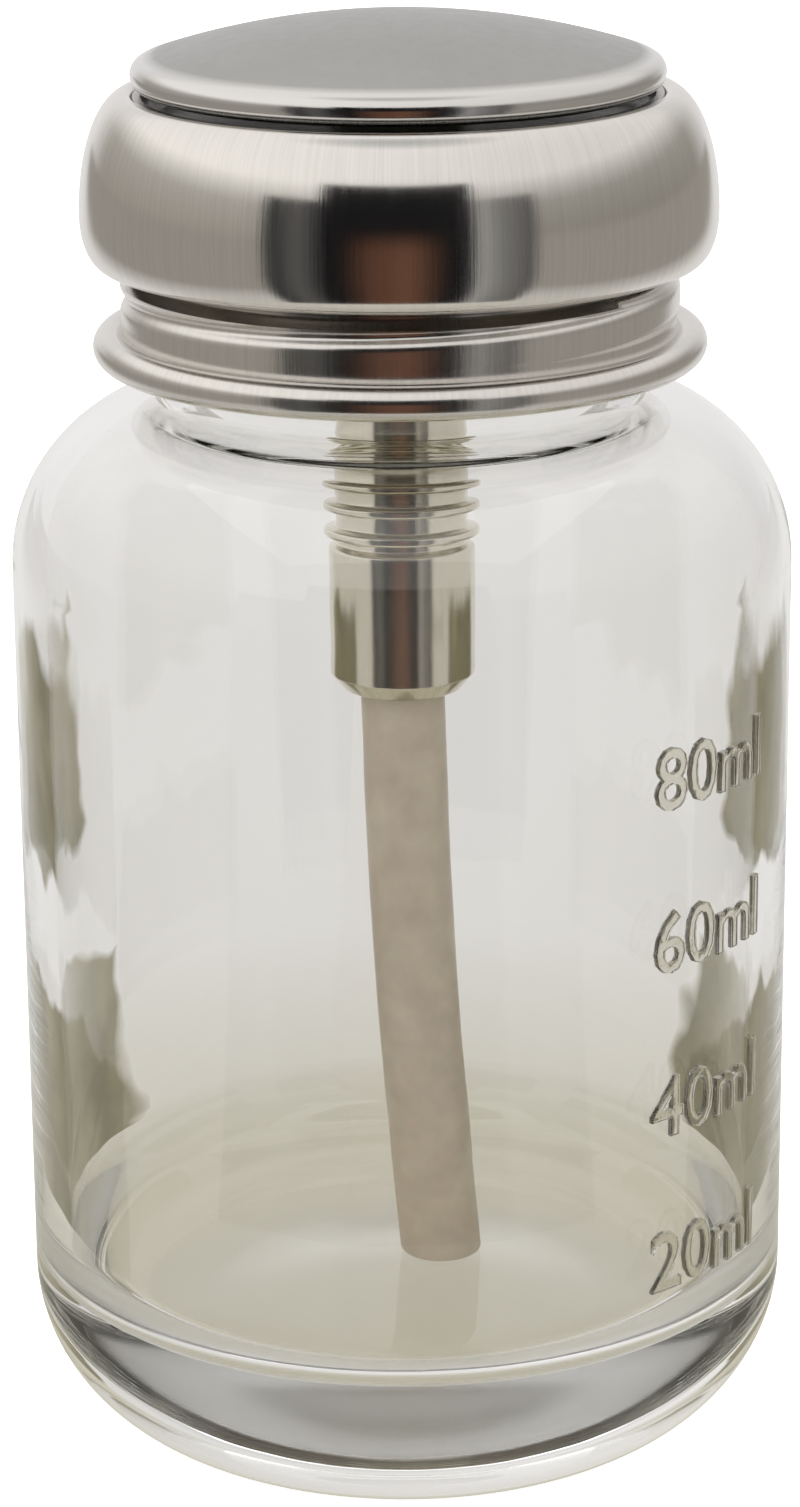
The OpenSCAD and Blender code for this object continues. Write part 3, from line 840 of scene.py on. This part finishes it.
class SALON_OT_room(JarOperator, Operator):
    """Stand three glowing cards that paint reflections: a dark one in front that the steel picks up and two
    olive ones at the sides that the glass picks up
    """

    bl_idname = "salon.room"
    bl_label = "Room"

    def build(self, shape, look, studio):
        self.front()
        self.side("olive_left", -1.0)
        self.side("olive_right", 1.0)

    NEAR = 0.075  # where the card's flat part starts
    FAR = 0.45  # where the card's upright part stands
    SWEEP = math.radians(96)  # how far round both of them reach
    DARK = (0.006, 0.006, 0.007)
    # painted reflection: the card's dark bands and its pale band, from left to right round the front
    PAINTED_REFLECTION_BANDS = ((0.10, (0.03, 0.03, 0.03)), (0.16, (0.05, 0.05, 0.05)), (0.20, (0.12, 0.115, 0.11)),
             (0.255, (0.06, 0.06, 0.06)), (0.275, DARK), (0.705, DARK), (0.73, (0.42, 0.41, 0.40)),
             (0.79, (0.22, 0.22, 0.21)), (0.85, (0.16, 0.15, 0.15)), (0.875, (0.10, 0.10, 0.10)))
    # painted reflection: a warm brown streak in the dark middle
    PAINTED_WARM_STREAK = ((0.33, (0, 0, 0)), (0.42, (0.10, 0.042, 0.022)), (0.52, (0.17, 0.075, 0.04)), (0.64, (0, 0, 0)))

    def front(self):
        """A glowing card, flat in front and upright further back, that paints a dark reflection with a pale
        band and a warm streak, seen in the steel only.
        """
        n = Finish("painted_reflection_card")
        share, height = facing(n)
        bands = n.ramp(share, self.PAINTED_REFLECTION_BANDS)
        warm = n.ramp(share, self.PAINTED_WARM_STREAK)
        fall = n.spread(height, 0.06, 0.12, 1.0, 0.0)
        streaks = n.noise(n.round_axis(5.0, 0.0), 14.0, 4.0, 0.7)
        lit = n.vector("SCALE", warm)
        strength = n.math("MULTIPLY", fall, n.spread(streaks, 0.3, 0.7, 0.5, 1.3))
        n.link(strength, lit.node.inputs["Scale"])
        core = n.math("LESS_THAN", n.math("ABSOLUTE", n.math("SUBTRACT", share, 0.49)), 0.225)
        top = n.math("ADD", 0.22, n.math("MULTIPLY", core, 0.09))
        path = n.add("ShaderNodeLightPath").outputs
        one_wall = n.math("ABSOLUTE", n.math("SUBTRACT", path["Transmission Depth"], 2.0))
        through = n.math("MAXIMUM", n.math("LESS_THAN", one_wall, 1.5),
                         n.math("LESS_THAN", path["Glossy Depth"], 0.5))
        hole = n.math("MAXIMUM", through, n.math("GREATER_THAN", height, top))
        self.cut(n, n.vector("ADD", bands, lit), hole)
        outline = ((self.NEAR, 0.002), (0.2, 0.002), (self.FAR, 0.002), (self.FAR, 0.1), (self.FAR, 0.32))
        points = [(0.0, -x, z) for x, z in outline]
        self.stand("painted_reflection_card", points, -self.SWEEP / 2, self.SWEEP, 48, n.material)

    SIDE_R = 0.0475  # how far the olive cards stand from the jar's axis
    SIDE_FROM = math.radians(-32)  # from the back
    SIDE_SWEEP = math.radians(-73)
    # painted reflection: the colours of the olive blotches
    PAINTED_OLIVE_REFLECTION = ((0.35, (0.10, 0.09, 0.035)), (0.65, (0.28, 0.25, 0.14)))

    def side(self, name, sign):
        """A glowing card close beside and behind the jar that paints ragged olive reflections, seen through
        the glass wall only.
        """
        n = Finish(name)
        olive = n.ramp(n.noise(n.place, 60.0, 3.0, 0.6), self.PAINTED_OLIVE_REFLECTION)
        parts = n.split(n.place)
        ragged = n.spread(n.noise(n.place, 90.0, 2.0), 0.3, 0.7, -0.002, 0.002)
        height = n.math("ADD", parts["Z"], ragged)
        inward = n.math("ADD", n.math("ABSOLUTE", parts["X"]), ragged)
        slope = n.math("ADD", n.math("MULTIPLY", parts["Z"], -0.2), inward)
        near = n.spread(slope, 0.0245, 0.026, 1.0, 0.0)
        waist = n.math("ABSOLUTE", n.math("SUBTRACT", height, 0.0265))
        gap = n.spread(waist, 0.005, 0.006, 1.0, 0.0)
        top = n.spread(height, 0.0495, 0.0515, 0.0, 1.0)
        self.cut(n, olive, n.math("MAXIMUM", n.math("MAXIMUM", near, gap), top))
        points = [(0.0, self.SIDE_R, z) for z in (0.002, 0.062)]
        card = self.stand(name, points, self.SIDE_FROM * sign, self.SIDE_SWEEP * sign, 24, n.material)
        card.visible_glossy = False

    def cut(self, n, shown, hole):
        """Shows the colour where hole is 0 and nothing where it is 1."""
        n.tree.nodes.remove(n.shader)
        glow = n.add("ShaderNodeEmission")
        n.link(shown, glow.inputs["Color"])
        clear = n.add("ShaderNodeBsdfTransparent")
        n.output("ShaderNodeOutputMaterial", hole, glow.outputs[0], clear.outputs[0])

    def stand(self, name, points, start, sweep, steps, material):
        """Sweeps a line of points round the Z axis into a card that the camera doesn't see by itself."""
        bm = bmesh.new()
        verts = [bm.verts.new(point) for point in points]
        edges = [bm.edges.new(pair) for pair in zip(verts, verts[1:])]
        bmesh.ops.rotate(bm, verts=verts, cent=(0, 0, 0), matrix=Matrix.Rotation(start, 3, "Z"))
        bmesh.ops.spin(bm, geom=verts + edges, cent=(0, 0, 0), axis=(0, 0, 1), dvec=(0, 0, 0),
                       angle=sweep, steps=steps, use_duplicate=False)
        mesh = bpy.data.meshes.new(name)
        bm.to_mesh(mesh)
        bm.free()
        mesh.materials.append(material)
        card = bpy.data.objects.new(name, mesh)
        bpy.context.scene.collection.objects.link(card)
        card.visible_camera = False
        card.visible_diffuse = False
        card.visible_shadow = False
        return card


PAINTED_SIDE_SHADE = (0.36, 0.34, 0.305)  # painted shade: the floor to both sides of the jar, as bare steel sees it
# painted shade: the floor's glow is darker and browner under and close round the jar, paler further out
PAINTED_SHADE_UNDER = ((0.028, (0.54, 0.51, 0.395)), (0.10, (0.80, 0.785, 0.76)), (0.6, (0.85, 0.835, 0.825)))


def room_floor():
    """White to the camera with a soft contact shadow; to other rays it glows pale grey when seen through or
    in the jar, with painted shade under and round the jar and painted darker sides in the steel.
    """
    n = Finish("pale_floor")
    cloud = n.noise(n.place, 3.0, 3.0)
    n.feed("Base Color", n.ramp(cloud, [(0.3, (0.90, 0.90, 0.90)), (0.7, (0.94, 0.94, 0.94))]))
    n.put(Roughness=0.8, Emission_Color=(1, 1, 1, 1), Emission_Strength=0.75, Specular_IOR_Level=0.1)
    parts = n.split(n.place)
    # painted shade: the floor seen in bare steel darkens to both sides of the jar
    aside = n.math("SUBTRACT", n.math("ABSOLUTE", parts["X"]), n.math("MULTIPLY", parts["Y"], 0.45))
    path = n.add("ShaderNodeLightPath").outputs
    bare = n.spread(path["Transmission Depth"], 0.0, 1.0, 1.0, 0.2)
    factor = n.math("MULTIPLY", bare, n.spread(aside, 0.06, 0.16, 0.0, 1.0))
    seen = n.mix(factor, n.ramp(n.radius(), PAINTED_SHADE_UNDER))
    seen.inputs["B"].default_value = (*PAINTED_SIDE_SHADE, 1.0)
    glow = n.add("ShaderNodeEmission")
    n.link(seen.outputs["Result"], glow.inputs["Color"])
    n.output("ShaderNodeOutputMaterial", path["Is Camera Ray"], glow.outputs[0], n.shader.outputs[0])
    return n.material


class SALON_OT_studio(JarOperator, Operator):
    """Lay the floor, hang the soft light and set the camera"""

    bl_idname = "salon.studio"
    bl_label = "Studio"

    BOUNCES = 40  # the thick base turns black with fewer

    def build(self, shape, look, studio):
        scene = bpy.context.scene
        scene.view_settings.view_transform = "Standard"
        for bounces in ("max_bounces", "transmission_bounces", "glossy_bounces"):
            setattr(scene.cycles, bounces, self.BOUNCES)
        bm = bmesh.new()
        bmesh.ops.create_grid(bm, x_segments=1, y_segments=1, size=3.0)
        mesh = bpy.data.meshes.new("floor")
        bm.to_mesh(mesh)
        bm.free()
        mesh.materials.append(room_floor())
        floor = bpy.data.objects.new("floor", mesh)
        scene.collection.objects.link(floor)
        overhead_light(studio.key)
        self.sky(scene)
        self.camera(scene, studio)

    FRONT = ((0.0, (0.36, 0.34, 0.305)), (0.2, (0.44, 0.42, 0.385)), (0.45, (1.0, 0.975, 0.94)),
             (0.8, (1.0, 0.98, 0.95)), (0.93, (1.02, 1.0, 0.97)), (1.0, (0.6, 0.6, 0.59)))
    BACK = ((0.0, (0.85, 0.835, 0.83)), (0.3, (0.85, 0.835, 0.83)), (0.6, (0.74, 0.73, 0.72)),
            (1.0, (0.7, 0.7, 0.69)))

    def sky(self, scene):
        """White to the camera; to the rest a warm grey room, darker in front, with a bright ceiling."""
        world = bpy.data.worlds.new("room")
        scene.world = world
        world.use_nodes = True
        n = Nodes(world.node_tree)
        parts = n.split(n.add("ShaderNodeTexCoord").outputs["Generated"])
        path = n.add("ShaderNodeLightPath").outputs
        turn = n.spread(parts["Y"], 0.72, 0.92, 0.0, 1.0)
        through = n.spread(path["Transmission Depth"], 0.0, 4 / 3, 0.0, 1.0)
        walls = n.mix(n.math("MAXIMUM", through, turn), n.ramp(parts["Z"], self.FRONT))
        n.link(n.ramp(parts["Z"], self.BACK), walls.inputs["B"])
        room = n.add("ShaderNodeBackground")
        n.link(walls.outputs["Result"], room.inputs["Color"])
        n.link(n.spread(parts["X"], -1.0, 1.0, 1.12, 0.86), room.inputs["Strength"])
        white = n.add("ShaderNodeBackground")
        white.inputs["Color"].default_value = (1, 1, 1, 1)
        white.inputs["Strength"].default_value = 1.05
        n.output("ShaderNodeOutputWorld", path["Is Camera Ray"], room.outputs[0], white.outputs[0])

    def camera(self, scene, studio):
        data = bpy.data.cameras.new("camera")
        data.lens = studio.lens
        data.shift_x = studio.shift
        data.clip_start = 0.01
        holder = bpy.data.objects.new("camera", data)
        place = Matrix.Translation((0, -studio.camera_distance, studio.camera_height))
        look_down = Matrix.Rotation(math.pi / 2 - studio.camera_pitch, 4, "X")
        holder.matrix_world = place @ look_down @ Matrix.Rotation(-studio.camera_roll, 4, "Z")
        scene.collection.objects.link(holder)
        scene.camera = holder


STEPS = (
    SALON_OT_small_parts,
    SALON_OT_glass_jar,
    SALON_OT_graduations,
    SALON_OT_screw_cap,
    SALON_OT_press_head,
    SALON_OT_flip_lid,
    SALON_OT_dish,
    SALON_OT_pump,
    SALON_OT_dip_tube,
    SALON_OT_spring,
    SALON_OT_room,
    SALON_OT_studio,
)


class SALON_PT_jar(Panel):
    """Lists the steps and their settings"""

    bl_idname = "SALON_PT_jar"
    bl_label = "Dispenser Jar"
    bl_space_type = "VIEW_3D"
    bl_region_type = "UI"
    bl_category = "Jar"

    def draw(self, context):
        for step in STEPS:
            self.layout.operator(step.bl_idname)
        for group in ("jar_shape", "jar_finish", "jar_studio"):
            box = self.layout.box()
            settings = getattr(context.scene, group)
            for name in settings.__annotations__:
                box.prop(settings, name)


GROUPS = {"jar_shape": ShapeSettings, "jar_finish": FinishSettings, "jar_studio": StudioSettings}
CLASSES = (*GROUPS.values(), *STEPS, SALON_PT_jar)


def register():
    for cls in CLASSES:
        bpy.utils.register_class(cls)
    for name, group in GROUPS.items():
        setattr(bpy.types.Scene, name, PointerProperty(type=group))


def unregister():
    for name in GROUPS:
        delattr(bpy.types.Scene, name)
    for cls in reversed(CLASSES):
        bpy.utils.unregister_class(cls)


def main():
    register()
    for step in STEPS:
        family, name = step.bl_idname.split(".")
        getattr(getattr(bpy.ops, family), name)()


if __name__ == "__main__":
    main()
